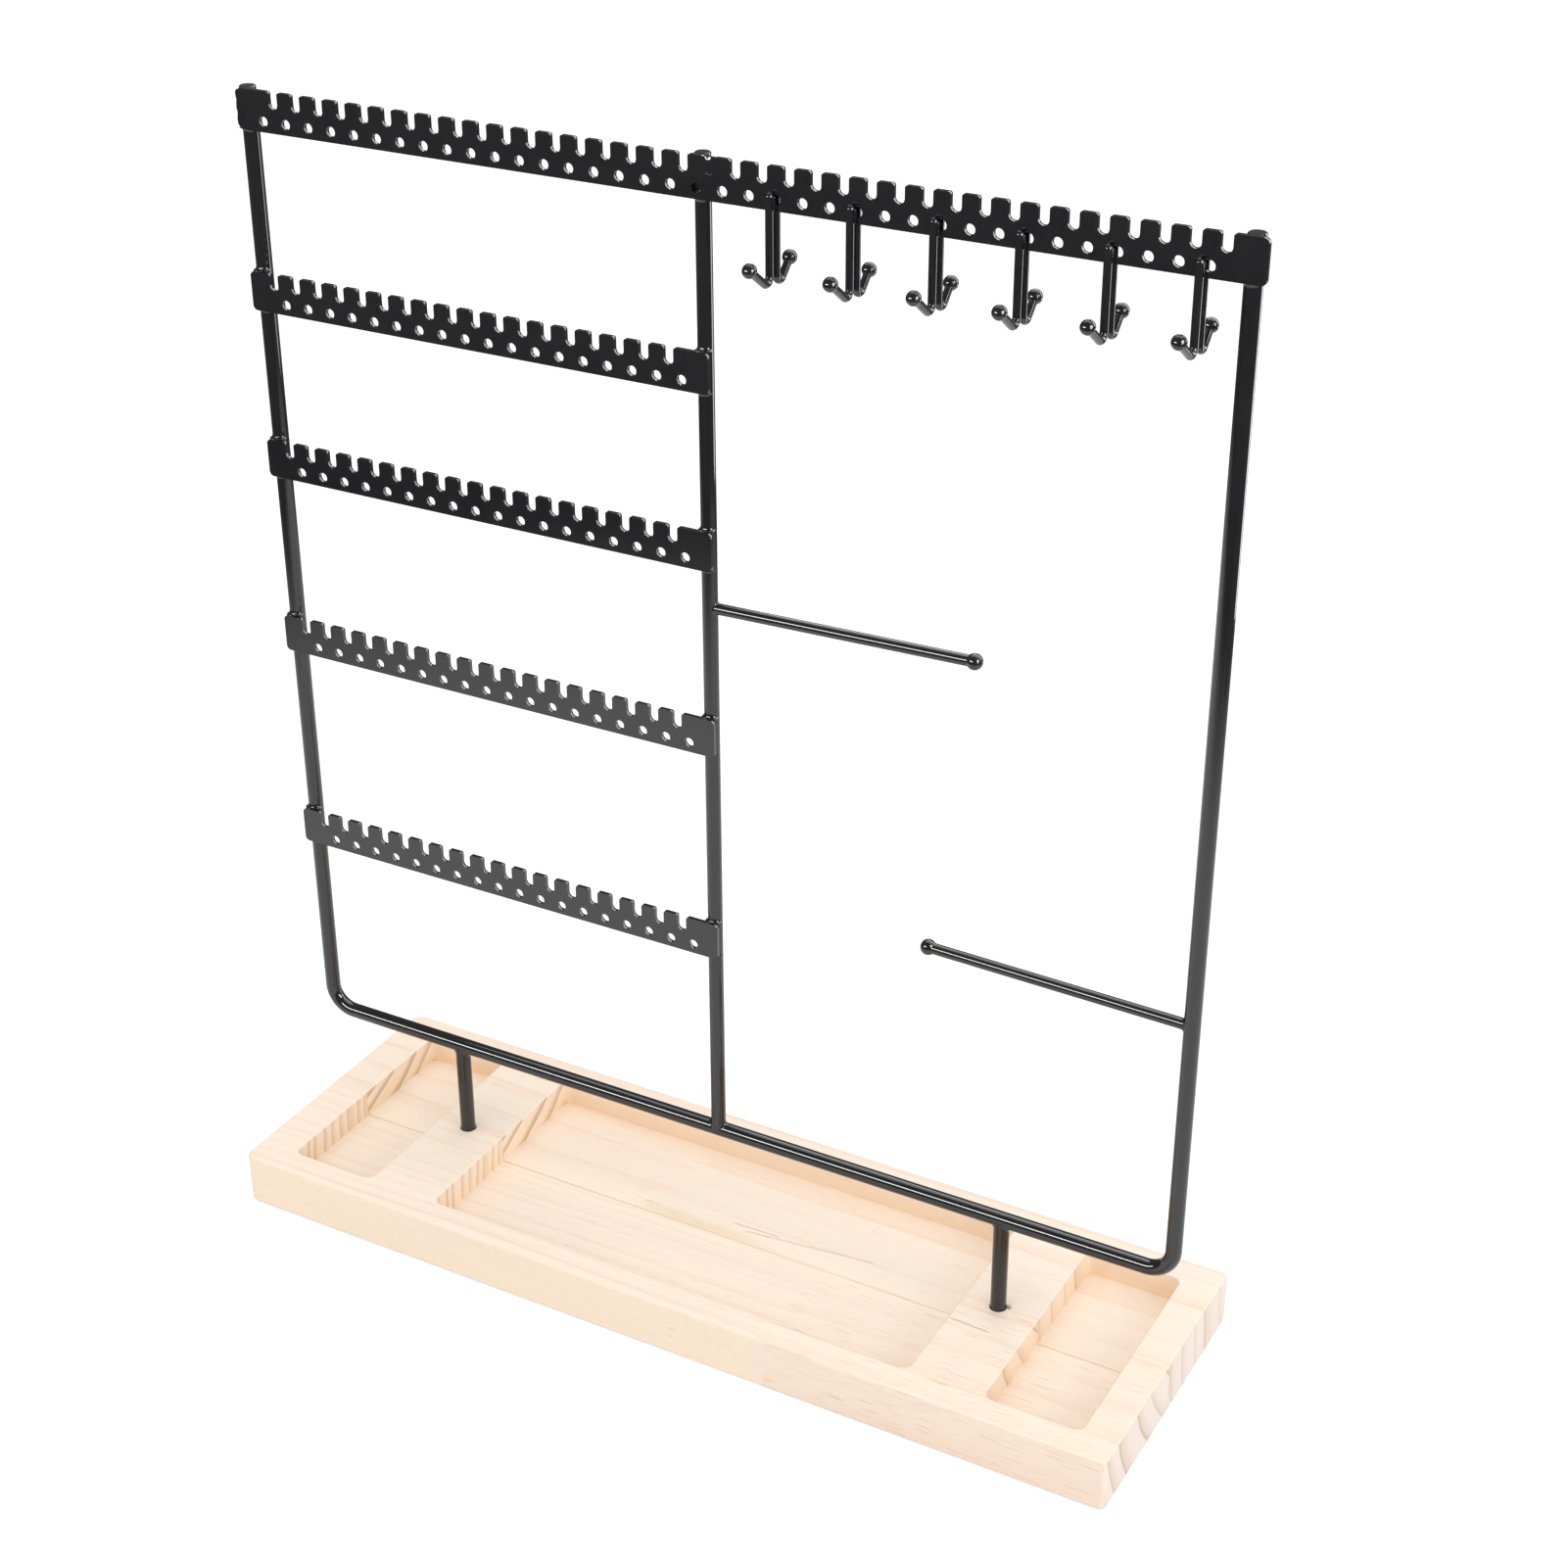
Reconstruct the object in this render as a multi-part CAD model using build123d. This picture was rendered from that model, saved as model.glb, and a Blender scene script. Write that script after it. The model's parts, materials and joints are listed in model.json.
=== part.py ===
from build123d import *
import math
import os

# Jewellery display rack: a welded wire frame that plugs into a wooden tray base.
# Five notched and drilled bars carry earrings, six pairs of hooks and two arms carry necklaces.
# Millimetres, +Z up, origin under the middle of the frame in the plane of the base's underside, the front faces -Y.

# Wooden base with three pockets, glued up from two staves of two finger-jointed lengths each
base_length = 302.0
base_depth = 96.0
base_thickness = 17.0
base_offset = 1.0
left_corner_radius = 4.0
right_corner_radius = 2.0
base_edge_radius = 1.0
pocket_depth = 9.0
pocket_corner_radius = 3.0
pocket_edge_radius = 0.6
end_rim = 12.8
side_rim = 9.6
end_pocket_length = 30.15
land_width = 24.45
front_joint_offset = 37.0
back_joint_offset = 28.0
finger_length = 8.0
finger_flank_count = 15

# Wires of the frame
frame_wire = 4.8
frame_width = 296.0
frame_height = 303.6
frame_bend_radius = 8.0
rail_rise = 32.4
centre_wire = 4.5
centre_offset = 1.0
post_wire = 4.8
post_insert = 11.0
post_lead_in = 0.6
wire_end_chamfer = 0.3

# Earring bars: a row of holes and a row of slots, half a pitch apart
bar_height = 11.6
bar_thickness = 1.3
bar_pitch = 7.74
bar_least_margin = 6.5
bar_corner_radius = 1.5
hole_diameter = 2.9
hole_rise = 3.0
slot_width = 3.0
slot_depth = 4.9
tooth_radius = 0.7
top_bar_setback = 1.5
top_bar_overhang = 2.0
top_row_offset = 0.9
half_bar_overhang = 0.4
second_bar_step = 52.6
third_bar_step = 51.2
fourth_bar_step = 57.2
fifth_bar_step = 67.3

# Necklace arms, each rising a little to the ball on its free end
arm_wire = 3.3
arm_ball = 4.7
arm_rise = 1.8
upper_arm_height = 175.9
upper_arm_reach = 80.9
lower_arm_height = 84.1
lower_arm_reach = 79.4

# Double hooks under the right half of the top bar
hook_wire = 2.2
hook_ball = 4.0
hook_count = 6
first_hook_gap = 22.05
last_hook_gap = 11.75
hook_bend_radius = 1.8
front_hook_grip = 1.0
front_hook_drop = 21.3
front_hook_reach = 10.4
front_hook_angle = 36.0
back_hook_grip = 1.9
back_hook_drop = 22.0
back_hook_reach = 7.1
back_hook_angle = 45.0

# Clearances, and the overrun of cutting tools past a face
bore_clearance = 0.25
weld_gap = 0.05
overrun = 1.0

# Places that follow from the sizes above
rail_z = base_thickness + rail_rise
frame_top_z = rail_z + frame_height
upright_x = frame_width / 2
centre_x = -centre_offset
bar_back_y = -frame_wire / 2 - weld_gap
bar_front_y = bar_back_y - bar_thickness
centre_y = bar_back_y + weld_gap + centre_wire / 2
land_x = base_length / 2 - end_rim - end_pocket_length - land_width / 2
post_places = {-1: centre_x - land_x, 1: centre_x + land_x}
bore_floor_z = base_thickness - post_insert
top_bar_z = frame_top_z - bar_height
first_hook_x = centre_x + first_hook_gap
hook_spacing = (upright_x - last_hook_gap - first_hook_x) / (hook_count - 1)


def round_bar(diameter, start, end):
    """A straight round rod from one point to another."""
    axis = Vector(*end) - Vector(*start)
    seat = Plane(origin=start, z_dir=axis)
    return extrude(seat * Circle(diameter / 2), amount=axis.length)


def bent_wire(diameter, edges):
    """A round wire swept along lines and arcs that run on from each other."""
    path = Wire(edges)
    section = Plane(origin=path @ 0, z_dir=path % 0) * Circle(diameter / 2)
    return sweep(section, path=path)


def pocket_cutter(middle_x, length):
    """The space of one tray pocket, open at the top."""
    outline = RectangleRounded(length, base_depth - 2 * side_rim, pocket_corner_radius)
    floor = Plane(origin=(middle_x, 0, base_thickness - pocket_depth))
    return extrude(floor * outline, amount=pocket_depth + overrun)


def base_board():
    """The whole board with its pockets and the two bores for the posts."""
    outline = Pos(-base_offset, 0) * Rectangle(base_length, base_depth)
    outline = fillet(outline.vertices().group_by(Axis.X)[0], left_corner_radius)
    outline = fillet(outline.vertices().group_by(Axis.X)[-1], right_corner_radius)
    board = extrude(outline, amount=base_thickness)
    rim_edges = board.edges().group_by(Axis.Z)
    board = fillet(rim_edges[0] + rim_edges[-1], base_edge_radius)
    end_pocket_x = base_length / 2 - end_rim - end_pocket_length / 2
    centre_pocket_length = 2 * (land_x - land_width / 2)
    board -= pocket_cutter(0, centre_pocket_length)
    for side in (-1, 1):
        board -= pocket_cutter(side * end_pocket_x, end_pocket_length)
    top = board.faces().sort_by(Axis.Z)[-1]
    pocket_rims = [edge for rim in top.inner_wires() for edge in rim.edges()]
    board = fillet(pocket_rims, pocket_edge_radius)
    for x in post_places.values():
        mouth = (x, 0, base_thickness + overrun)
        floor = (x, 0, bore_floor_z)
        board -= round_bar(post_wire + 2 * bore_clearance, floor, mouth)
    return board


def left_of_joint(joint_x, front_y, back_y):
    """The space to the left of a zigzag finger joint that runs across a stave."""
    flank = (back_y - front_y) / finger_flank_count
    points = [(-base_length, front_y)]
    for index in range(finger_flank_count + 1):
        side = 1 - 2 * (index % 2)
        points.append((joint_x + side * finger_length / 2, front_y + index * flank))
    points.append((-base_length, back_y))
    under = Plane(origin=(0, 0, -overrun))
    return extrude(under * Polygon(*points, align=None), amount=base_thickness + 2 * overrun)


def base_lengths():
    """The board cut along its glue line, and each stave at its finger joint."""
    board = base_board()
    front = split(board, bisect_by=Plane.XZ, keep=Keep.TOP)
    back = split(board, bisect_by=Plane.XZ, keep=Keep.BOTTOM)
    front_left = left_of_joint(front_joint_offset, -base_depth / 2, 0)
    back_left = left_of_joint(-back_joint_offset, 0, base_depth / 2)
    return {
        "base_front_left": front & front_left,
        "base_front_right": front - front_left,
        "base_back_left": back & back_left,
        "base_back_right": back - back_left,
    }


def outer_frame():
    """One wire bent to a U: both outer uprights and the bottom rail."""
    bend = frame_bend_radius
    half_turn_share = math.sqrt(0.5)
    bend_z = rail_z + bend
    bend_x = upright_x - bend
    middle_x = bend_x + bend * half_turn_share
    middle_z = bend_z - bend * half_turn_share
    edges = [
        Edge.make_line((-upright_x, 0, frame_top_z), (-upright_x, 0, bend_z)),
        Edge.make_three_point_arc((-upright_x, 0, bend_z), (-middle_x, 0, middle_z), (-bend_x, 0, rail_z)),
        Edge.make_line((-bend_x, 0, rail_z), (bend_x, 0, rail_z)),
        Edge.make_three_point_arc((bend_x, 0, rail_z), (middle_x, 0, middle_z), (upright_x, 0, bend_z)),
        Edge.make_line((upright_x, 0, bend_z), (upright_x, 0, frame_top_z)),
    ]
    wire = bent_wire(frame_wire, edges)
    tops = wire.faces().filter_by(Axis.Z).edges()
    return chamfer(tops, wire_end_chamfer)


def rail_seat():
    """The space of the bottom rail, for the wires that are coped to it."""
    return round_bar(frame_wire + 2 * weld_gap, (-upright_x, 0, rail_z), (upright_x, 0, rail_z))


def centre_upright():
    """The middle upright, coped to the rail at its foot."""
    wire = round_bar(centre_wire, (centre_x, centre_y, rail_z), (centre_x, centre_y, frame_top_z))
    wire = chamfer(wire.edges().sort_by(Axis.Z)[-1], wire_end_chamfer)
    return wire - rail_seat()


def post(side):
    """A short leg from the rail down to the floor of its bore in the base."""
    x = post_places[side]
    wire = round_bar(post_wire, (x, 0, bore_floor_z), (x, 0, rail_z))
    wire = chamfer(wire.edges().sort_by(Axis.Z)[0], post_lead_in)
    return wire - rail_seat()


def comb_bar(left_x, right_x, slot_side, row_offset, lower_z):
    """A flat bar with a row of holes and, half a pitch to one side of each, an open slot.

    slot_side is 1 where the slots lie to the right of their holes and -1 to the left of them.
    The rows lie row_offset to the left of the bar's middle and hold as many pairs as leave
    the least margin at both ends of a centred row.
    """
    length = right_x - left_x
    middle_x = (left_x + right_x) / 2
    pairs = 1 + math.floor((length - 2 * bar_least_margin - bar_pitch / 2) / bar_pitch)
    shift = slot_side * bar_pitch / 2
    first_x = -((pairs - 1) * bar_pitch + shift) / 2 - row_offset
    top_y = bar_height / 2
    hole_y = hole_rise - top_y
    slot_end_y = top_y - slot_depth + slot_width / 2
    slot_run = top_y + overrun - slot_end_y
    profile = RectangleRounded(length, bar_height, bar_corner_radius)
    for index in range(pairs):
        x = first_x + index * bar_pitch
        profile -= Pos(x, hole_y) * Circle(hole_diameter / 2)
        profile -= Pos(x + shift, slot_end_y + slot_run / 2) * Rectangle(slot_width, slot_run)
        profile -= Pos(x + shift, slot_end_y) * Circle(slot_width / 2)
    end_x = length / 2 - bar_corner_radius - tooth_radius
    top_corners = profile.vertices().group_by(Axis.Y)[-1]
    teeth = [corner for corner in top_corners if abs(corner.X) < end_x]
    profile = fillet(teeth, tooth_radius)
    seat = Plane(origin=(middle_x, bar_back_y, lower_z + top_y), x_dir=(1, 0, 0), z_dir=(0, -1, 0))
    return extrude(seat * profile, amount=bar_thickness)


def top_bar():
    """The long bar across all three uprights."""
    left_x = -upright_x - frame_wire / 2 + top_bar_setback
    right_x = upright_x + frame_wire / 2 + top_bar_overhang
    return comb_bar(left_x, right_x, 1, top_row_offset, top_bar_z)


def half_bar(lower_z):
    """A short bar from the left upright's outer side to just past the centre upright."""
    left_x = -upright_x - frame_wire / 2
    right_x = centre_x + centre_wire / 2 + half_bar_overhang
    return comb_bar(left_x, right_x, -1, 0, lower_z)


def necklace_arm(root_x, root_y, root_wire, height, reach):
    """A straight arm that ends in a ball and is coped to the upright at its root."""
    z = rail_z + height
    tip = (root_x + reach, 0, z + arm_rise)
    arm = round_bar(arm_wire, (root_x, 0, z), tip) + Pos(*tip) * Sphere(arm_ball / 2)
    seat = round_bar(root_wire + 2 * weld_gap, (root_x, root_y, z - arm_wire), (root_x, root_y, z + arm_wire))
    return arm - seat


def hook(x, side, face_y, grip, drop, reach, angle):
    """A J of wire on one face of the top bar, with a slanted prong that ends in a ball.

    side is -1 for a hook that reaches to the front and 1 for one that reaches to the back.
    """
    turn = math.radians(angle)
    bend = hook_bend_radius
    hole_z = top_bar_z + hole_rise
    shank_y = face_y + side * (hook_wire / 2 + weld_gap)
    bend_y = shank_y + side * bend
    bend_z = hole_z - drop + bend
    half = (math.pi / 2 + turn) / 2
    middle = (x, bend_y - side * bend * math.cos(half), bend_z - bend * math.sin(half))
    bend_end = (x, bend_y + side * bend * math.sin(turn), bend_z - bend * math.cos(turn))
    run = reach - bend * (1 + math.sin(turn))
    tip = (x, shank_y + side * reach, bend_end[2] + run * math.tan(turn))
    edges = [
        Edge.make_line((x, shank_y, hole_z + grip), (x, shank_y, bend_z)),
        Edge.make_three_point_arc((x, shank_y, bend_z), middle, bend_end),
        Edge.make_line(bend_end, tip),
    ]
    round_top = Pos(x, shank_y, hole_z + grip) * Sphere(hook_wire / 2)
    ball = Pos(*tip) * Sphere(hook_ball / 2)
    return bent_wire(hook_wire, edges) + round_top + ball


def all_pieces():
    """Every piece by its name."""
    pieces = base_lengths()
    pieces["outer_frame"] = outer_frame()
    pieces["centre_upright"] = centre_upright()
    pieces["left_post"] = post(-1)
    pieces["right_post"] = post(1)
    pieces["top_earring_bar"] = top_bar()
    lower_z = top_bar_z
    steps = {
        "second_earring_bar": second_bar_step,
        "third_earring_bar": third_bar_step,
        "fourth_earring_bar": fourth_bar_step,
        "fifth_earring_bar": fifth_bar_step,
    }
    for name, step in steps.items():
        lower_z -= step
        pieces[name] = half_bar(lower_z)
    pieces["upper_necklace_arm"] = necklace_arm(
        centre_x, centre_y, centre_wire, upper_arm_height, upper_arm_reach
    )
    pieces["lower_necklace_arm"] = necklace_arm(
        upright_x, 0, frame_wire, lower_arm_height, -lower_arm_reach
    )
    for index in range(hook_count):
        x = first_hook_x + index * hook_spacing
        pieces[f"front_hook_{index + 1}"] = hook(
            x, -1, bar_front_y, front_hook_grip, front_hook_drop, front_hook_reach, front_hook_angle
        )
        pieces[f"back_hook_{index + 1}"] = hook(
            x, 1, bar_back_y, back_hook_grip, back_hook_drop, back_hook_reach, back_hook_angle
        )
    return pieces


os.makedirs("parts", exist_ok=True)
for name, piece in all_pieces().items():
    piece.label = name
    export_step(piece, f"parts/{name}.step")
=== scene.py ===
import json
import math
import bmesh
import bpy
from mathutils import Matrix, Vector

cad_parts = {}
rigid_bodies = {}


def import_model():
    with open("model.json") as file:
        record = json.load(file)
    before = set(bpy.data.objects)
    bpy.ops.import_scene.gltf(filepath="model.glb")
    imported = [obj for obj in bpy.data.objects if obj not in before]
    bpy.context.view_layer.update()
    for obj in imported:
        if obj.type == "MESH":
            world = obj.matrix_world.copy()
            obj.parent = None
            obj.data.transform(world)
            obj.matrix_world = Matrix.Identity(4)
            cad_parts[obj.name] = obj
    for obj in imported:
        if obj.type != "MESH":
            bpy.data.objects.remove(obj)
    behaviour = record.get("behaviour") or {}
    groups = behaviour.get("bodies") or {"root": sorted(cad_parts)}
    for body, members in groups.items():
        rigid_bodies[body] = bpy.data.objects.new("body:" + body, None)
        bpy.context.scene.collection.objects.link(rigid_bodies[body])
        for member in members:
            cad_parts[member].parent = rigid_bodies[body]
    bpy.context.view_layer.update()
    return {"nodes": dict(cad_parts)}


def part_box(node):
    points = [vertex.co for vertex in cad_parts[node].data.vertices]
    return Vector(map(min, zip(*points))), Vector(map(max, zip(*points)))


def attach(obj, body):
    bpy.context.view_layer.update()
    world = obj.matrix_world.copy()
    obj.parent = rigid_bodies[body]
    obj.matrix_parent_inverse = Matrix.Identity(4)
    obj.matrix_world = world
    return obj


for old in list(bpy.data.objects):
    bpy.data.objects.remove(old)
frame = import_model()
nodes = frame["nodes"]
MM = 0.001


# Places in millimetres: the flat bars' from the frame, the wires' as the solids have them

def box_mm(node):
    """A node's lowest and highest corners."""
    low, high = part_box(node)
    return Vector(low) / MM, Vector(high) / MM


BAR_LOW = {name: box_mm(f"{name}_earring_bar")[0].z for name in ("top", "second", "third", "fourth", "fifth")}
top_bar_low, top_bar_high = box_mm("top_earring_bar")
BAR_FRONT, BAR_BACK = top_bar_low.y, top_bar_high.y
BAR_HEIGHT = top_bar_high.z - top_bar_low.z
RAIL_Z = 49.4
UPRIGHT_X = 148.0
CENTRE_X, CENTRE_Y = -1.0, -0.15
FRAME_R, CENTRE_R, POST_R, ARM_R, HOOK_R = 2.4, 2.25, 2.4, 1.65, 1.1
LEFT_POST_X, RIGHT_POST_X = -96.825, 94.825
UPPER_ARM_Z, LOWER_ARM_Z = 225.3, 133.5
HOOK_STAND = HOOK_R + 0.05
FIRST_HOOK_X, HOOK_SPACING, HOOK_COUNT = 21.05, 23.04, 6


# Shader trees

class Tree:
    """A short way to write node trees."""

    def __init__(self, owner):
        owner.use_nodes = True
        self.tree = owner.node_tree
        self.tree.nodes.clear()

    def new(self, kind, inputs=None, **settings):
        node = self.tree.nodes.new(kind)
        for key, value in settings.items():
            setattr(node, key, value)
        for key, value in (inputs or {}).items():
            self.put(node.inputs[key], value)
        return node

    def put(self, socket, value):
        if isinstance(value, bpy.types.NodeSocket):
            self.tree.links.new(value, socket)
        else:
            socket.default_value = value

    def math(self, operation, a, b=0.0, c=0.0):
        return self.new("ShaderNodeMath", {0: a, 1: b, 2: c}, operation=operation).outputs[0]

    def times(self, first, *others):
        for other in others:
            first = self.math("MULTIPLY", first, other)
        return first

    def centred(self, value, size):
        """A noise that runs from 0 to 1, moved to run evenly about 0."""
        return self.math("MULTIPLY", self.math("SUBTRACT", value, 0.5), size)

    def step(self, value, low, high, to_low=0.0, to_high=1.0):
        node = self.new("ShaderNodeMapRange", {0: value, 1: low, 2: high, 3: to_low, 4: to_high},
                        interpolation_type="SMOOTHSTEP")
        return node.outputs[0]

    def between(self, value, low, high, fade):
        """One from low to high, fading to nothing at both."""
        return self.times(self.step(value, low, low + fade), self.step(value, high - fade, high, 1.0, 0.0))

    def scaled(self, vector, factors, shift=(0.0, 0.0, 0.0)):
        node = self.new("ShaderNodeVectorMath", {0: vector, 1: factors, 2: shift}, operation="MULTIPLY_ADD")
        return node.outputs[0]

    def place_mm(self):
        """The point on the part, in millimetres."""
        return self.scaled(self.new("ShaderNodeTexCoord").outputs["Object"], (1000, 1000, 1000))

    def noise(self, vector, detail, rough):
        node = self.new("ShaderNodeTexNoise", {"Vector": vector, "Scale": 1.0,
                                               "Detail": detail, "Roughness": rough})
        return node.outputs["Fac"]

    def mix(self, factor, a, b, blend="MIX"):
        node = self.new("ShaderNodeMix", data_type="RGBA", blend_type=blend, clamp_factor=True)
        self.put(node.inputs[0], factor)
        self.put(node.inputs[6], a)
        self.put(node.inputs[7], b)
        return node.outputs[2]

    def toned(self, mask, colour, tone):
        """The colour, multiplied by a tone where the mask is."""
        return self.mix(mask, colour, self.mix(1.0, colour, tone, "MULTIPLY"))

    def ramp(self, value, stops):
        node = self.new("ShaderNodeValToRGB", {0: value})
        elements = node.color_ramp.elements
        while len(elements) < len(stops):
            elements.new(0.5)
        for element, (place, level) in zip(elements, stops):
            element.position = place
            element.color = (level, level, level, 1)
        return node.outputs[0]

    def finish(self, shader, output="ShaderNodeOutputMaterial"):
        self.tree.links.new(shader.outputs[0], self.new(output).inputs[0])


def rgb(red, green, blue):
    return (red, green, blue, 1.0)


# Gloss powder coat over steel

def coat_material():
    material = bpy.data.materials.new("black_gloss_coat")
    t = Tree(material)
    mm = t.place_mm()
    peel = t.noise(t.scaled(mm, (0.75, 0.75, 0.75)), 1.5, 0.45)
    grain = t.noise(t.scaled(mm, (6.0, 6.0, 6.0)), 2.0, 0.6)
    cloud = t.noise(t.scaled(mm, (0.09, 0.09, 0.09)), 3.0, 0.55)
    tone = t.math("MULTIPLY_ADD", grain, 0.35, t.times(cloud, 0.65))
    colour = t.mix(t.step(tone, 0.3, 0.7), rgb(0.0070, 0.0070, 0.0082), rgb(0.0115, 0.0112, 0.0125))
    wear = t.math("MULTIPLY_ADD", cloud, 0.7, t.times(grain, 0.3))
    rough = t.step(wear, 0.3, 0.7, 0.035, 0.075)
    height = t.math("MULTIPLY_ADD", grain, 0.04, peel)
    bump = t.new("ShaderNodeBump", {"Strength": 0.12, "Distance": 0.00005, "Height": height})
    t.finish(t.new("ShaderNodeBsdfPrincipled", {
        "Base Color": colour, "Roughness": rough, "IOR": 1.6,
        "Specular IOR Level": 0.5, "Normal": bump.outputs[0]}))
    return material


# Pine: a ring's level against its phase, for the thin line of late wood and for the wider band round it
LATE_LINE = [(0.0, 0.0), (0.55, 0.02), (0.84, 0.16), (0.93, 0.55), (0.96, 1.0), (0.985, 0.4), (1.0, 0.0)]
WIDE_BAND = [(0.0, 0.15), (0.3, 0.0), (0.75, 0.55), (0.93, 1.0), (1.0, 0.15)]

# Linear colours of the wood
PALE_COOL, PALE_WARM = rgb(0.925, 0.795, 0.668), rgb(0.955, 0.818, 0.675)
ROSY_LIGHT, ROSY_DEEP = rgb(0.93, 0.72, 0.56), rgb(0.90, 0.685, 0.53)
LATE_BROWN, FIBRE_TAN, FLECK_BROWN = rgb(0.74, 0.53, 0.37), rgb(0.86, 0.69, 0.55), rgb(0.56, 0.37, 0.23)
CUT_COOL, CUT_WARM = rgb(0.935, 0.80, 0.70), rgb(0.94, 0.805, 0.68)
CUT_BAND, CUT_LINE, CUT_PORE = rgb(0.65, 0.455, 0.31), rgb(0.50, 0.315, 0.16), rgb(0.74, 0.56, 0.41)
GLUE_TAN, RESIN_OLIVE = rgb(0.70, 0.50, 0.28), rgb(0.80, 0.63, 0.41)
MARK_HALO, MARK_DARK = rgb(0.80, 0.585, 0.33), rgb(0.20, 0.105, 0.045)

# Painted shade that the faces are multiplied by, for how the light falls on them, and the millimetres over
# which each zone of the tray begins or ends
SIDE_WALL_PAINTED_SHADE, END_WALL_PAINTED_SHADE = rgb(0.97, 0.875, 0.755), rgb(0.985, 0.93, 0.82)
FRONT_LEFT_PAINTED_SHADE, FRONT_RIGHT_PAINTED_SHADE = rgb(0.985, 0.965, 0.915), rgb(0.965, 0.95, 0.955)
RIGHT_END_PAINTED_SHADE, EDGE_PAINTED_SHADE = rgb(0.93, 0.955, 1.0), rgb(0.93, 0.915, 0.88)
POCKETS_END_X, POCKETS_END_Y, WALL_SHADE_FADE_Z = (141.0, 143.0), (40.0, 42.0), (8.3, 15.5)
FRONT_ENDS_Y, FRONT_JOINT_X, RIGHT_END_BEGINS_X = (-46.0, -44.0), (36.0, 38.0), (145.0, 147.0)


class Pine:
    """The wood of one length: growth rings round a pith line far from it.

    pith is the line's y and z and spacing the rings' distance, in millimetres. drift is the line's slope.
    band is how strongly the rings show on the end grain, and flecks are the scale along the grain, the
    noise level where they start and the depth. A mark is a line x0, y0, x1, y1, its width and its depth.
    A stain is x0, x1, the middle y and half the width.
    """

    def __init__(self, name, pith, drift, spacing, seed, tint, band,
                 marks=(), stains=(), flecks=(0.16, 0.66, 0.38)):
        self.material = bpy.data.materials.new(name)
        self.t = t = Tree(self.material)
        self.mm = t.place_mm()
        self.x, self.y, self.z = t.new("ShaderNodeSeparateXYZ", {0: self.mm}).outputs
        normal = t.new("ShaderNodeNewGeometry").outputs["Normal"]
        self.facing = t.new("ShaderNodeSeparateXYZ", {0: normal}).outputs
        self.end = t.step(t.math("ABSOLUTE", self.facing[0]), 0.55, 0.9)
        self.make_noises(seed, flecks[0])
        self.make_rings(pith, drift, spacing)
        colour = t.mix(self.end, self.long_face(tint, flecks), self.cut_face(band))
        colour = self.glue_line(self.painted_face_shade(colour))
        for stain in stains:
            colour = self.stain(colour, *stain)
        for mark in marks:
            colour = self.mark(colour, *mark)
        self.finish(colour)

    def make_noises(self, seed, fleck_scale):
        t, mm = self.t, self.mm
        self.sway = t.noise(t.scaled(mm, (0.007, 0.02, 0.02), (seed, 0, 0)), 2.0, 0.5)
        self.ripple = t.noise(t.scaled(mm, (0.03, 0.16, 0.16), (seed, 7.0, 0)), 2.0, 0.5)
        self.fibre = t.noise(t.scaled(mm, (0.035, 2.6, 2.6), (0, seed, 0)), 3.0, 0.6)
        self.streak = t.noise(t.scaled(mm, (0.012, 0.42, 0.42), (0, seed, 3.0)), 3.0, 0.55)
        self.cloud = t.noise(t.scaled(mm, (0.010, 0.035, 0.035), (seed, 0, 5.0)), 2.0, 0.5)
        self.pores = t.noise(t.scaled(mm, (0.6, 3.2, 3.2), (0, 0, seed)), 2.0, 0.6)
        self.dash = t.noise(t.scaled(mm, (fleck_scale, 3.4, 3.4), (seed, 2.0, 0)), 1.0, 0.4)
        self.wobble = t.centred(t.noise(t.scaled(mm, (0.35, 0.0, 0.0), (seed, 0, 0)), 2.0, 0.6), 1.1)

    def make_rings(self, pith, drift, spacing):
        t = self.t
        bend = t.math("ADD", t.centred(self.sway, 7.0), t.centred(self.ripple, 1.0))
        dy = t.math("SUBTRACT", self.y, t.math("MULTIPLY_ADD", self.x, drift[0], pith[0]))
        dz = t.math("SUBTRACT", self.z, t.math("MULTIPLY_ADD", self.x, drift[1], pith[1]))
        radius = t.math("SQRT", t.math("MULTIPLY_ADD", dy, dy, t.times(dz, dz)))
        ring = t.math("DIVIDE", t.math("ADD", radius, bend), spacing)
        uneven = t.new("ShaderNodeTexNoise", {"W": t.times(ring, 0.83), "Scale": 1.0, "Detail": 1.0},
                       noise_dimensions="1D").outputs["Fac"]
        ring = t.math("MULTIPLY_ADD", uneven, 0.9, ring)
        phase = t.math("FRACT", ring)
        self.late = t.ramp(phase, LATE_LINE)
        self.wide = t.ramp(phase, WIDE_BAND)
        self.year = t.new("ShaderNodeTexWhiteNoise", {"W": t.math("FLOOR", ring)},
                          noise_dimensions="1D").outputs[0]

    def long_face(self, tint, flecks):
        """Stripes, fibres and flecks along the grain."""
        t = self.t
        pale = t.mix(t.step(self.cloud, 0.35, 0.65), PALE_COOL, PALE_WARM)
        pale = t.mix(1.0, pale, rgb(*tint), "MULTIPLY")
        rosy = t.mix(t.step(self.streak, 0.35, 0.7), ROSY_LIGHT, ROSY_DEEP)
        show = t.times(self.wide, t.math("MULTIPLY_ADD", self.year, 0.5, 0.5))
        colour = t.mix(t.times(show, t.step(self.streak, 0.2, 0.75, 0.35, 1.0)), pale, rosy)
        thin = t.times(self.late, self.year, t.step(self.fibre, 0.35, 0.6))
        colour = t.mix(t.times(thin, 0.42), colour, LATE_BROWN)
        colour = t.mix(t.step(self.fibre, 0.25, 0.75, 0.0, 0.2), colour, FIBRE_TAN)
        start, depth = flecks[1:]
        return t.mix(t.step(self.dash, start, start + 0.12, 0.0, depth), colour, FLECK_BROWN)

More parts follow.
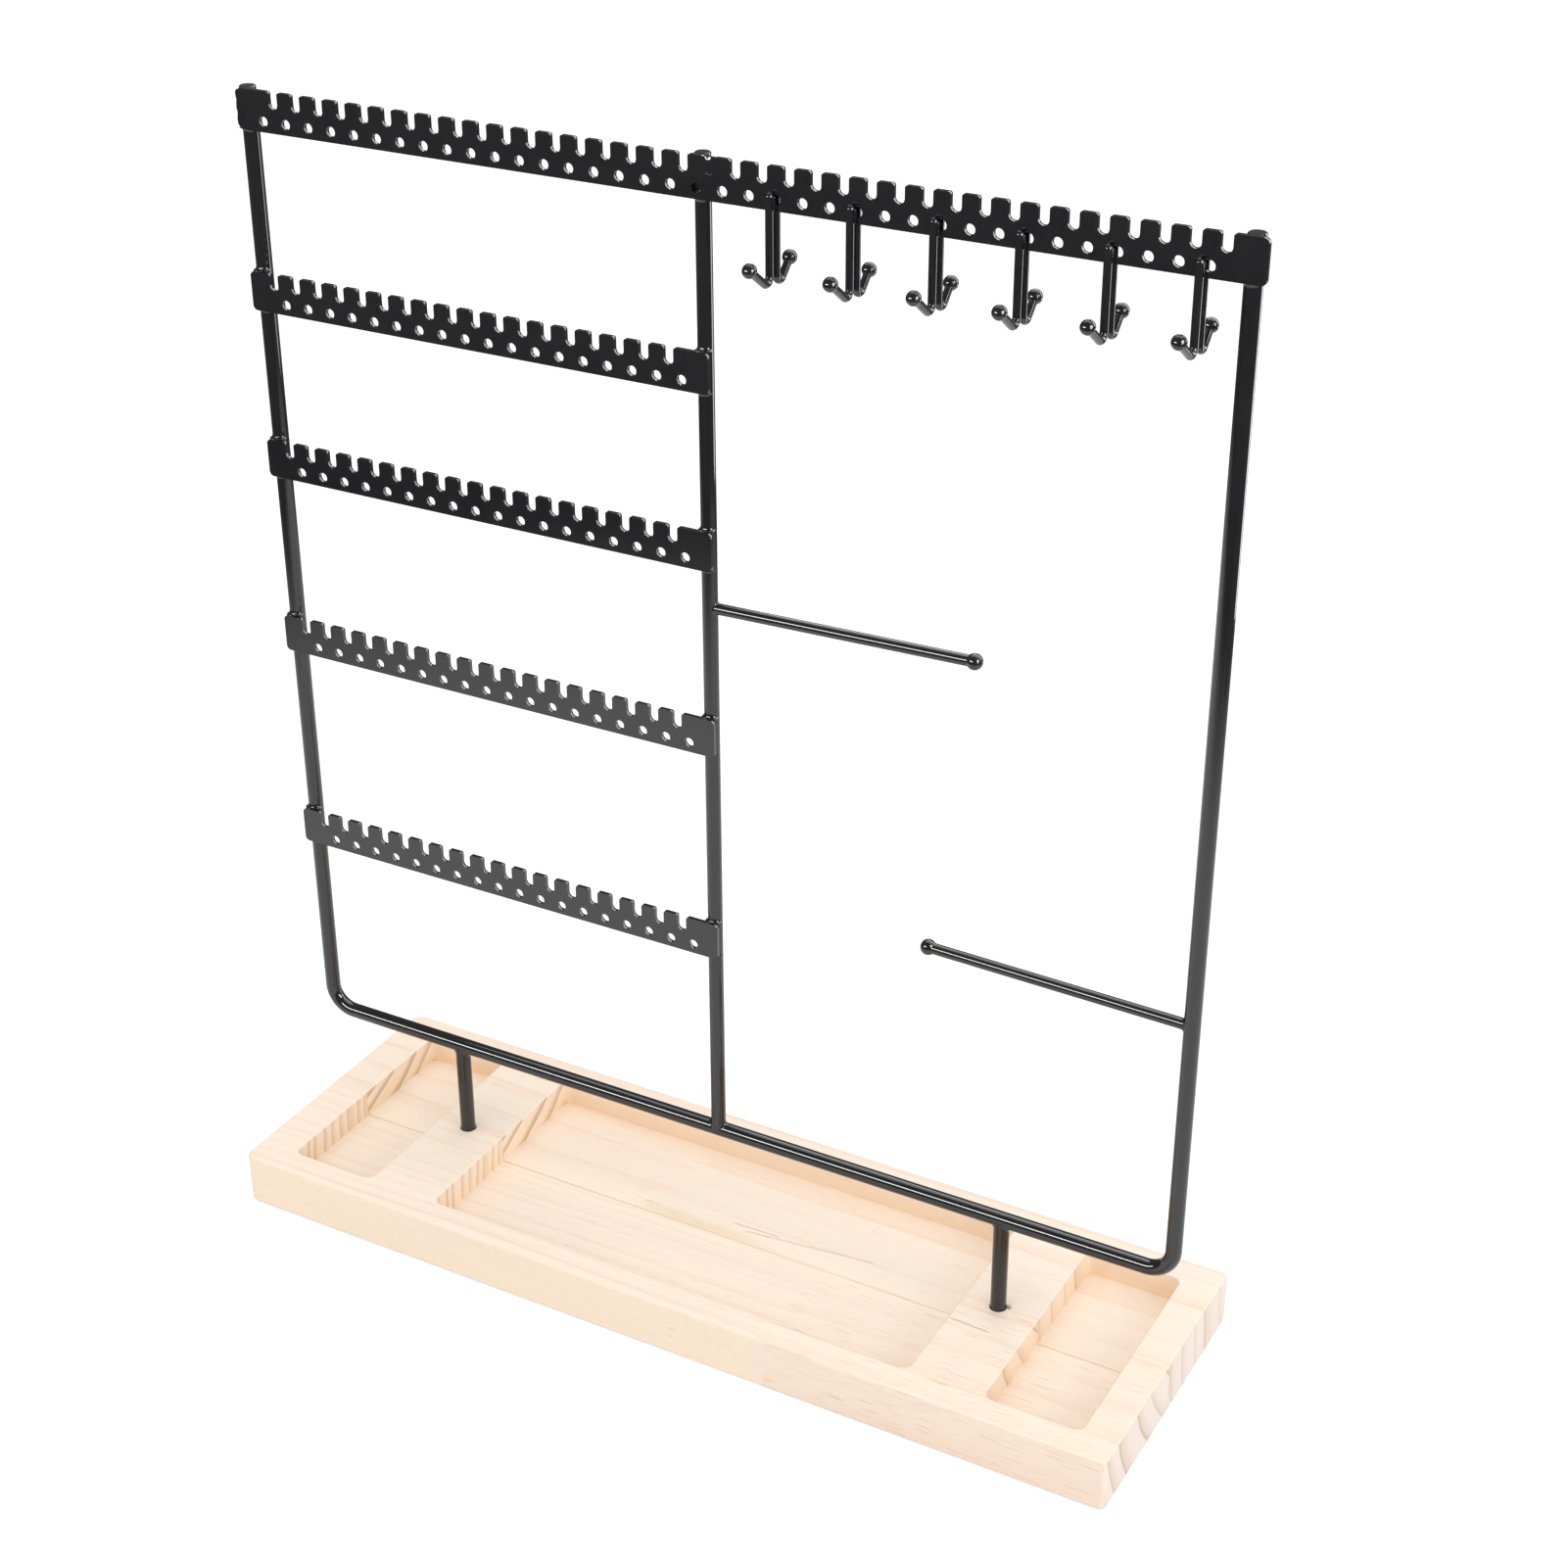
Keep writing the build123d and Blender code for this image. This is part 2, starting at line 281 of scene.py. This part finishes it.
    def cut_face(self, band):
        """Ring lines and pores of the end grain."""
        t = self.t
        colour = t.mix(t.step(self.cloud, 0.35, 0.65), CUT_COOL, CUT_WARM)
        colour = t.mix(t.times(t.step(self.wide, 0.1, 0.65), band), colour, CUT_BAND)
        colour = t.mix(t.times(self.late, t.math("MULTIPLY_ADD", self.year, 0.4, 0.5)), colour, CUT_LINE)
        return t.mix(t.step(self.pores, 0.45, 0.8, 0.0, 0.2), colour, CUT_PORE)

    def painted_face_shade(self, colour):
        """Painted shade: deeper pocket walls, a yellower front, a cooler right end, and darker rounded edges
        that don't catch the light.
        """
        t = self.t
        face_x, face_y, face_z = self.facing
        upright = t.step(t.math("ABSOLUTE", face_z), 0.3, 0.6, 1.0, 0.0)
        inside = t.times(t.step(t.math("ABSOLUTE", self.y), *POCKETS_END_Y, 1.0, 0.0),
                         t.step(t.math("ABSOLUTE", self.x), *POCKETS_END_X, 1.0, 0.0))
        # Painted shade on the pocket walls, deepest low down near the pocket floors
        painted_wall_shade = t.times(upright, inside, t.step(self.z, *WALL_SHADE_FADE_Z, 1.0, 0.55))
        colour = t.toned(painted_wall_shade, colour, t.mix(self.end, SIDE_WALL_PAINTED_SHADE, END_WALL_PAINTED_SHADE))
        # Painted shade on the front face: a little darker, and yellower on the left length
        front = t.times(t.step(face_y, -0.9, -0.6, 1.0, 0.0), t.step(self.y, *FRONT_ENDS_Y, 1.0, 0.0))
        front_shade_tone = t.mix(t.step(self.x, *FRONT_JOINT_X), FRONT_LEFT_PAINTED_SHADE, FRONT_RIGHT_PAINTED_SHADE)
        colour = t.toned(front, colour, front_shade_tone)
        # Painted shade on the right end, tinted cooler
        painted_right_end_shade = t.times(t.step(face_x, 0.6, 0.9), t.step(self.x, *RIGHT_END_BEGINS_X))
        colour = t.toned(painted_right_end_shade, colour, RIGHT_END_PAINTED_SHADE)
        # Painted shade on the rounded top edges, darkened so that they don't catch the light
        painted_edge_shade = t.times(t.step(face_z, 0.2, 0.5), t.step(face_z, 0.8, 0.98, 1.0, 0.0))
        return t.toned(painted_edge_shade, colour, EDGE_PAINTED_SHADE)

    def glue_line(self, colour):
        """The line between the front and back lengths, at y = 0."""
        t = self.t
        off = t.math("ABSOLUTE", t.math("ADD", t.centred(self.ripple, 0.25), self.y))
        glue = t.times(t.step(off, 0.14, 0.5, 1.0, 0.0), t.step(self.streak, 0.25, 0.6, 0.35, 0.8),
                       t.step(self.z, 9.5, 13.0, 1.0, 0.3))
        return t.mix(glue, colour, GLUE_TAN)

    def stain(self, colour, x0, x1, middle_y, half_width):
        """An olive resin stain, a soft band along the grain."""
        t = self.t
        waving_y = t.math("ADD", t.centred(self.ripple, 3.0), self.y)
        away = t.math("ABSOLUTE", t.math("SUBTRACT", waving_y, middle_y))
        soak = t.times(t.between(self.x, x0, x1, 0.4 * (x1 - x0)),
                       t.step(away, 0.4 * half_width, half_width, 0.75, 0.0),
                       t.step(self.fibre, 0.3, 0.7, 0.6, 1.0))
        return t.mix(soak, colour, RESIN_OLIVE)

    def mark(self, colour, x0, y0, x1, y1, width, depth):
        """A resin streak, drying crack or chip: a dark line with a halo, from one point to another."""
        t = self.t
        slope = (y1 - y0) / (x1 - x0)
        line = t.math("MULTIPLY_ADD", self.x, slope, y0 - slope * x0)
        away = t.math("ABSOLUTE", t.math("SUBTRACT", t.math("ADD", self.y, self.wobble), line))
        along = t.between(self.x, x0, x1, min(2.5, (x1 - x0) * 0.3))
        halo = t.times(t.step(away, width, width * 5, 0.28, 0.0), along, depth)
        core = t.times(t.step(away, width * 0.35, width, 1.0, 0.0), along,
                       t.step(self.fibre, 0.3, 0.55, 0.35, 1.0), depth)
        return t.mix(core, t.mix(halo, colour, MARK_HALO), MARK_DARK)

    def finish(self, colour):
        t = self.t
        dull = t.math("MULTIPLY_ADD", self.late, -0.3, t.math("ADD", self.fibre, t.times(self.end, 0.25)))
        rough = t.step(dull, 0.2, 0.9, 0.46, 0.66)
        fine = t.math("MULTIPLY_ADD", self.fibre, 0.5, t.times(self.pores, self.end))
        height = t.math("MULTIPLY_ADD", self.wide, 0.5, fine)
        bump = t.new("ShaderNodeBump", {"Strength": 0.25, "Distance": 0.00008, "Height": height})
        t.finish(t.new("ShaderNodeBsdfPrincipled", {
            "Base Color": colour, "Roughness": rough, "IOR": 1.45,
            "Specular IOR Level": 0.35, "Normal": bump.outputs[0]}))


RESIN_STAIN = (-40.0, 20.0, 2.2, 3.0)
POST_CHIP = (95.4, 1.6, 99.0, 1.0, 1.25, 1.0)
LENGTHS = {
    "front_left": {
        "pith": (235.0, 4.0), "drift": (0.004, 0.0), "spacing": 4.5, "seed": 3.0,
        "tint": (1.0, 1.0, 1.0), "band": 0.30},
    "front_right": {
        "pith": (24.0, 35.0), "drift": (0.01, 0.0), "spacing": 9.8, "seed": 11.0,
        "tint": (1.005, 1.0, 0.99), "band": 0.20, "flecks": (0.10, 0.61, 0.5),
        "marks": [(83.6, -11.6, 98.5, -12.1, 0.18, 0.75)]},
    "back_left": {
        "pith": (-20.0, 70.0), "drift": (0.0, 0.01), "spacing": 6.8, "seed": 19.0,
        "tint": (1.0, 0.995, 0.985), "band": 0.7, "stains": [RESIN_STAIN],
        "marks": [(-32.4, 4.2, -28.3, 5.0, 0.2, 0.7), (-40.4, 10.6, -30.0, 11.2, 0.1, 0.35)]},
    "back_right": {
        "pith": (212.0, 40.0), "drift": (0.005, 0.0), "spacing": 9.5, "seed": 27.0,
        "tint": (1.0, 1.005, 1.01), "band": 0.10, "stains": [RESIN_STAIN],
        "marks": [(-1.8, 7.6, 16.8, 8.1, 0.17, 0.7), (3.5, 5.5, 49.0, 10.9, 0.18, 0.65), POST_CHIP]},
}
coat = coat_material()
pines = {f"base_{place}": Pine(f"pine_{place}", **look).material for place, look in LENGTHS.items()}
for name, piece in nodes.items():
    piece.data.materials.clear()
    piece.data.materials.append(pines.get(name, coat))


# The coat rounds the cut edges of the earring bars
CORNER_MERGE = 0.004 * MM
COAT_ROUNDING = 0.3 * MM
for name in BAR_LOW:
    bar = nodes[f"{name}_earring_bar"]
    join = bar.modifiers.new("join_corners", "WELD")
    join.merge_threshold = CORNER_MERGE
    round_over = bar.modifiers.new("coat_rounding", "BEVEL")
    round_over.width = COAT_ROUNDING
    round_over.segments = 3
    round_over.limit_method = "ANGLE"
    round_over.angle_limit = math.radians(50)
    round_over.harden_normals = True


# Welds under the coat: closed lofted beads, in millimetres, whose edges sink a little into the metal
SINK = 0.02


def arc_in(start, control, end, steps=7):
    """Points of a hollow curve from one surface to another."""
    points = []
    for index in range(steps + 1):
        share = index / steps
        points.append(start * (1 - share) ** 2 + control * (2 * share * (1 - share)) + end * share ** 2)
    return points


def loft(sections, wrap=False):
    """Vertices and faces of a solid through closed sections of equal count."""
    count, rows = len(sections[0]), len(sections)
    corners = [point for section in sections for point in section]
    faces = []
    for row in range(rows if wrap else rows - 1):
        here, there = row * count, (row + 1) % rows * count
        for k in range(count):
            n = (k + 1) % count
            faces.append((here + k, here + n, there + n, there + k))
    if not wrap:
        faces.append(tuple(range(count)))
        faces.append(tuple(range((rows - 1) * count, rows * count)))
    return corners, faces


def bead(name, lofts):
    """One piece from lofts, riding with the frame."""
    corners, faces = [], []
    for more_corners, more_faces in lofts:
        start = len(corners)
        corners += [point * MM for point in more_corners]
        faces += [tuple(start + k for k in face) for face in more_faces]
    mesh = bpy.data.meshes.new(name)
    mesh.from_pydata(corners, [], faces)
    shape = bmesh.new()
    shape.from_mesh(mesh)
    bmesh.ops.recalc_face_normals(shape, faces=shape.faces)
    shape.to_mesh(mesh)
    shape.free()
    mesh.polygons.foreach_set("use_smooth", [True] * len(mesh.polygons))
    mesh.set_sharp_from_angle(angle=math.radians(48))
    mesh.materials.append(coat)
    piece = bpy.data.objects.new(name, mesh)
    bpy.context.scene.collection.objects.link(piece)
    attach(piece, "frame")


def seam(axis_x, axis_y, radius, plane_y, z0, z1, throat, reach):
    """Two hollow fillets where an upright wire lies along a flat bar face.

    throat is the angle on the wire that a fillet climbs to, and reach is how far it runs out on the bar.
    """
    toward = 1 if axis_y > plane_y else -1
    inner = radius - SINK
    steps = 20
    lofts = []
    for side in (-1, 1):
        sections = []
        for index in range(steps + 1):
            z = z0 + (z1 - z0) * index / steps
            from_end = min(index, steps - index) / steps
            taper = min(1.0, 0.35 + math.sqrt(from_end * 5.0))
            swell = taper * (1 + 0.08 * math.sin(1.7 * z + axis_x + side))
            angle = math.radians(throat * min(1.0, swell))
            wire_y = axis_y - toward * inner * math.cos(angle)
            on_wire = Vector((axis_x + side * inner * math.sin(angle), wire_y, z))
            bar_x = axis_x + side * (radius * math.sin(angle) + reach * swell)
            on_bar = Vector((bar_x, plane_y - toward * SINK, z))
            corner = Vector((axis_x + side * radius * math.tan(angle / 2), plane_y + toward * 0.03, z))
            root = Vector((axis_x + side * radius * 0.12, plane_y + toward * SINK, z))
            sections.append(arc_in(on_wire, corner, on_bar) + [root])
        lofts.append(loft(sections))
    return lofts


def gusset(axis_x, axis_y, radius, out_y, z, drop, spread):
    """A hollow collar on an upright wire under the lower edge of a bar, or over its top with a negative drop.

    out_y is how far forward it reaches, and spread is half the angle that it takes of the wire.
    """
    front = -1 if out_y < axis_y else 1
    lap = math.copysign(0.05, drop)
    inner, deep = radius - SINK, 0.85 * radius
    steps = 18
    sections = []
    for index in range(steps + 1):
        share = 2 * index / steps - 1
        angle = math.radians(spread * share)
        full = math.cos(share * math.pi / 2) ** 0.6
        high = drop * (0.18 + 0.82 * full)
        across, along = math.sin(angle), front * math.cos(angle)
        edge_y = axis_y + radius * along
        bar_y = edge_y + (out_y - edge_y) * (0.25 + 0.75 * full)
        on_wire = Vector((axis_x + inner * across, axis_y + inner * along, z - high))
        on_bar = Vector((axis_x + radius * across * 1.1, bar_y, z + lap))
        corner = Vector((axis_x + radius * across, edge_y, z - 0.1 * high))
        root = Vector((axis_x + deep * across, axis_y + deep * along, z + lap))
        sections.append(arc_in(on_bar, corner, on_wire) + [root])
    return [loft(sections)]


def saddle(origin, along, out, target_radius, wire_radius, offset, wire_leg, target_leg):
    """A hollow ring where a wire stands on another wire.

    along is the other wire's direction, out the standing wire's, and offset how far the two axes miss.
    """
    origin, along, out = Vector(origin), Vector(along), Vector(out)
    across = along.cross(out)
    limit = 0.975 * target_radius
    slim = (wire_radius - SINK) / wire_radius
    steps = 40
    sections = []
    for index in range(steps):
        turn = 2 * math.pi * index / steps
        ca, sa = math.cos(turn), math.sin(turn)
        lean = abs(ca) ** 1.3
        a, c = wire_radius * ca, max(-limit, min(limit, offset + wire_radius * sa))
        rise = math.sqrt(target_radius ** 2 - c * c)
        leg = target_leg * (0.2 + 0.8 * lean) * (1 + 0.1 * math.sin(3 * turn + 0.8))
        far = max(-limit, min(limit, offset + (wire_radius + leg) * sa))
        far_rise = math.sqrt(target_radius ** 2 - far * far) - SINK
        stand = rise + wire_leg * (0.45 + 0.55 * lean) * (1 + 0.12 * math.sin(2 * turn + 0.4))
        on_wire = origin + along * (a * slim) + across * (offset + (c - offset) * slim) + out * stand
        on_target = origin + along * ((wire_radius + leg) * ca) + across * far + out * far_rise
        corner = origin + along * a + across * c + out * rise
        root = origin + along * (0.85 * a) + across * (0.85 * c) + out * (rise - 0.15)
        sections.append(arc_in(on_wire, corner, on_target) + [root])
    return [loft(sections, wrap=True)]


def slot_fill(centre_x, half_width, bottom_z, top_z):
    """A slot filled with weld metal, swelling a little out of the bar's front."""
    lap = 0.06
    back_y = BAR_BACK - 0.1
    steps, columns = 16, 10
    sections = []
    for index in range(steps + 1):
        z = bottom_z + (top_z - bottom_z) * index / steps
        up = min(z - bottom_z, half_width)
        half = math.sqrt(max(0.0, half_width ** 2 - (half_width - up) ** 2)) + lap
        swell = 0.28 * min(1.0, (index + 1) / 5, (steps - index + 1) / 3)
        points = []
        for k in range(columns + 1):
            share = 2 * k / columns - 1
            lift = swell * (1 - share * share) * (1 + 0.25 * math.sin(1.9 * z + 2.5 * share)) - lap
            points.append(Vector((centre_x + half * share, BAR_FRONT - lift, z)))
        points += [Vector((centre_x + half, back_y, z)), Vector((centre_x - half, back_y, z))]
        sections.append(points)
    return [loft(sections)]


LEFT_WIRE = (-UPRIGHT_X, 0.0, FRAME_R)
CENTRE_WIRE = (CENTRE_X, CENTRE_Y, CENTRE_R)
RIGHT_WIRE = (UPRIGHT_X, 0.0, FRAME_R)
FILLED_SLOT_X, SLOT_HALF_WIDTH, SLOT_DEPTH = 2.785, 1.5, 4.9


def top_bar_welds(lower, upper):
    lofts = []
    for wire in (LEFT_WIRE, CENTRE_WIRE, RIGHT_WIRE):
        lofts += seam(*wire, BAR_BACK, lower - 0.2, upper - 0.4, throat=48, reach=0.75)
        lofts += gusset(*wire, BAR_BACK - 0.85, lower, drop=1.7, spread=72)
        if wire is CENTRE_WIRE:
            lofts += slot_fill(FILLED_SLOT_X, SLOT_HALF_WIDTH, upper - SLOT_DEPTH, upper - 0.15)
    return lofts


def short_bar_welds(lower, upper):
    lofts = []
    for wire in (LEFT_WIRE, CENTRE_WIRE):
        lofts += seam(*wire, BAR_BACK, lower - 0.5, upper + 0.7, throat=46, reach=0.6)
        lofts += gusset(*wire, BAR_BACK - 0.7, lower, drop=1.4, spread=80)
        lofts += gusset(*wire, BAR_BACK - 0.6, upper, drop=-1.6, spread=80)
    return lofts


for name, lower in BAR_LOW.items():
    bar_welds = top_bar_welds if name == "top" else short_bar_welds
    bead(f"welds_{name}_bar", bar_welds(lower, lower + BAR_HEIGHT))

front_lofts, back_lofts = [], []
for index in range(HOOK_COUNT):
    hook_x, lower = FIRST_HOOK_X + HOOK_SPACING * index, BAR_LOW["top"]
    front_wire = (hook_x, BAR_FRONT - HOOK_STAND, HOOK_R)
    back_wire = (hook_x, BAR_BACK + HOOK_STAND, HOOK_R)
    front_lofts += seam(*front_wire, BAR_FRONT, lower - 0.1, lower + 3.9, throat=52, reach=0.5)
    back_lofts += seam(*back_wire, BAR_BACK, lower - 0.2, lower + 4.8, throat=52, reach=0.5)
    back_lofts += gusset(*back_wire, BAR_BACK - 0.5, lower, drop=0.8, spread=70)
bead("welds_front_hooks", front_lofts)
bead("welds_back_hooks", back_lofts)

UP, DOWN, RIGHT, LEFT = (0, 0, 1), (0, 0, -1), (1, 0, 0), (-1, 0, 0)
bead("weld_centre_foot", saddle((CENTRE_X, 0, RAIL_Z), RIGHT, UP, FRAME_R, CENTRE_R, -CENTRE_Y,
                                wire_leg=1.3, target_leg=1.2))
bead("weld_left_post", saddle((LEFT_POST_X, 0, RAIL_Z), RIGHT, DOWN, FRAME_R, POST_R, 0.0,
                              wire_leg=1.7, target_leg=1.6))
bead("weld_right_post", saddle((RIGHT_POST_X, 0, RAIL_Z), RIGHT, DOWN, FRAME_R, POST_R, 0.0,
                               wire_leg=1.5, target_leg=1.3))
bead("weld_upper_arm", saddle((CENTRE_X, CENTRE_Y, UPPER_ARM_Z), UP, RIGHT, CENTRE_R, ARM_R, -CENTRE_Y,
                              wire_leg=0.9, target_leg=0.8))
bead("weld_lower_arm", saddle((UPRIGHT_X, 0, LOWER_ARM_Z), UP, LEFT, FRAME_R, ARM_R, 0.0,
                              wire_leg=0.9, target_leg=0.8))


# Floor and world, white to the camera and in the gloss
FLOOR_REACH, FLOOR_Z, FLOOR_GLOW = 6.0, -0.0002, 0.36
WORLD_LIGHT = 0.86


def stage_plane(name, corners, material):
    mesh = bpy.data.meshes.new(name)
    mesh.from_pydata(corners, [], [tuple(range(len(corners)))])
    piece = bpy.data.objects.new(name, mesh)
    bpy.context.scene.collection.objects.link(piece)
    mesh.materials.append(material)
    return piece


def level_plane(name, x0, x1, y0, y1, z, material):
    return stage_plane(name, [(x0, y0, z), (x1, y0, z), (x1, y1, z), (x0, y1, z)], material)


def seen_directly(t):
    path = t.new("ShaderNodeLightPath")
    seen = t.math("MAXIMUM", path.outputs["Is Camera Ray"], path.outputs["Is Glossy Ray"])
    return t.math("MAXIMUM", seen, path.outputs["Is Transmission Ray"])


def floor_material():
    material = bpy.data.materials.new("pale_floor")
    t = Tree(material)
    diffuse = t.new("ShaderNodeBsdfDiffuse", {"Color": rgb(0.80, 0.80, 0.80)})
    strength = t.times(seen_directly(t), FLOOR_GLOW)
    glow = t.new("ShaderNodeEmission", {"Color": rgb(1, 1, 1), "Strength": strength})
    t.finish(t.new("ShaderNodeAddShader", {0: diffuse.outputs[0], 1: glow.outputs[0]}))
    return material


def studio_world():
    world = bpy.data.worlds.new("studio")
    t = Tree(world)
    level = t.step(seen_directly(t), 0.0, 1.0, WORLD_LIGHT, 1.0)
    sky = t.new("ShaderNodeBackground", {"Color": rgb(1, 1, 1), "Strength": level})
    t.finish(sky, "ShaderNodeOutputWorld")
    return world


level_plane("floor", -FLOOR_REACH, FLOOR_REACH, -FLOOR_REACH, FLOOR_REACH, FLOOR_Z, floor_material())
bpy.context.scene.world = studio_world()


# Lamps: soft boxes that light the part, and panels that only the gloss of its surfaces shows

def area_lamp(name, place, target, size, power):
    light = bpy.data.lights.new(name, "AREA")
    light.shape = "RECTANGLE"
    light.size, light.size_y = size
    light.energy = power
    lamp = bpy.data.objects.new(name, light)
    bpy.context.scene.collection.objects.link(lamp)
    lamp.location = place
    lamp.rotation_mode = "QUATERNION"
    lamp.rotation_quaternion = (Vector(target) - Vector(place)).to_track_quat("-Z", "Y")
    lamp.visible_camera = False
    return lamp


SOFT_BOXES = [
    ("overhead_softbox", (-0.25, -0.35, 1.7), (0, 0, 0.1), (1.8, 1.8), 7.0),
    ("front_softbox", (0.1, -1.8, 0.9), (0, 0, 0.1), (2.2, 1.2), 4.4),
    ("right_softbox", (1.9, -0.3, 0.8), (0, 0, 0.05), (1.6, 1.2), 9.0),
]
GLOSS_PANELS = [
    ("left_panel", (-0.33, -0.61, 0.46), (-0.33, 0, 0.2), (0.62, 0.13), 5.2),
    ("right_panel", (0.58, -0.12, 0.42), (0, 0, 0.2), (0.34, 0.44), 6.0),
    ("overhead_panel", (0.0, 0.3, 1.0), (0, 0.3, 0), (1.3, 0.6), 5.4),
    ("back_panel", (0.08, 0.58, 0.70), (0.08, 0, 0.4), (0.95, 0.32), 5.5),
    ("back_right_panel", (0.43, 0.47, 0.45), (0, 0, 0.34), (0.30, 0.34), 1.8),
    ("low_right_panel", (0.45, 0.44, 0.12), (0.08, 0, 0.2), (0.16, 0.2), 0.6),
]
for soft_box in SOFT_BOXES:
    area_lamp(*soft_box).visible_glossy = False
for panel in GLOSS_PANELS:
    area_lamp(*panel).visible_diffuse = False


# A dark tent round the rack and a card that fades in on the floor, seen only in the gloss
TENT_LEFT, TENT_RIGHT = -0.76, 0.62
TENT_OUTLINE = [(-0.64, 0.0), (-0.66, 0.55), (-0.52, 0.85), (-0.2, 1.05), (0.6, 1.05), (0.6, 0.0)]
TENT_FRONT_Y, TENT_BACK_Y = -0.66, 0.6
TENT_GLOW = 0.2
FADE_CARD_Z = -0.0001
FADE_START, FADE_END, FADE_MOST = 0.34, 0.60, 0.9


def gloss_only(piece):
    piece.visible_camera = False
    piece.visible_diffuse = False
    piece.visible_shadow = False
    piece.visible_transmission = False


def tent_material():
    material = bpy.data.materials.new("dark_card")
    t = Tree(material)
    t.finish(t.new("ShaderNodeEmission", {"Color": rgb(1, 1, 1), "Strength": TENT_GLOW}))
    material.cycles.emission_sampling = "NONE"
    return material


def fading_material():
    material = bpy.data.materials.new("fading_card")
    t = Tree(material)
    spot = t.scaled(t.new("ShaderNodeNewGeometry").outputs["Position"], (0.8, 1.0, 0.0))
    distance = t.new("ShaderNodeVectorMath", {0: spot}, operation="LENGTH").outputs["Value"]
    clear = t.new("ShaderNodeBsdfTransparent")
    dark = t.new("ShaderNodeBsdfDiffuse", {"Color": rgb(0.01, 0.01, 0.01)})
    share = t.step(distance, FADE_START, FADE_END, 0.0, FADE_MOST)
    t.finish(t.new("ShaderNodeMixShader", {0: share, 1: clear.outputs[0], 2: dark.outputs[0]}))
    return material


cards = [[(end_x, y, z) for y, z in TENT_OUTLINE] for end_x in (TENT_LEFT, TENT_RIGHT)]
for (y0, z0), (y1, z1) in zip(TENT_OUTLINE, TENT_OUTLINE[1:]):
    cards.append([(TENT_LEFT, y0, z0), (TENT_RIGHT, y0, z0), (TENT_RIGHT, y1, z1), (TENT_LEFT, y1, z1)])
dark_card = tent_material()
for index, corners in enumerate(cards):
    gloss_only(stage_plane(f"dark_card_{index + 1}", corners, dark_card))
gloss_only(level_plane("fading_card", TENT_LEFT, TENT_RIGHT, TENT_FRONT_Y, TENT_BACK_Y, FADE_CARD_Z,
                       fading_material()))


# Camera, fitted to the photograph
PHOTO_SIZE, FOCAL_PIXELS = 1601, 2750.29
SENSOR_WIDTH = 36.0
CAMERA_PLACE = (0.34639, -0.58797, 0.53509)
CAMERA_RIGHT = (0.87627, 0.48181, -0.00225)
CAMERA_UP = (-0.22567, 0.41454, 0.88161)
CAMERA_BACK = (0.42570, -0.77202, 0.47198)
camera_data = bpy.data.cameras.new("photo_camera")
camera_data.sensor_width = SENSOR_WIDTH
camera_data.lens = SENSOR_WIDTH * FOCAL_PIXELS / PHOTO_SIZE
camera_data.clip_start = 0.02
camera_data.clip_end = 50.0
camera = bpy.data.objects.new("photo_camera", camera_data)
bpy.context.scene.collection.objects.link(camera)
camera_turn = Matrix((CAMERA_RIGHT, CAMERA_UP, CAMERA_BACK)).transposed().to_4x4()
camera.matrix_world = Matrix.Translation(CAMERA_PLACE) @ camera_turn
bpy.context.scene.camera = camera
bpy.context.scene.view_settings.view_transform = "Standard"

bpy.context.view_layer.update()
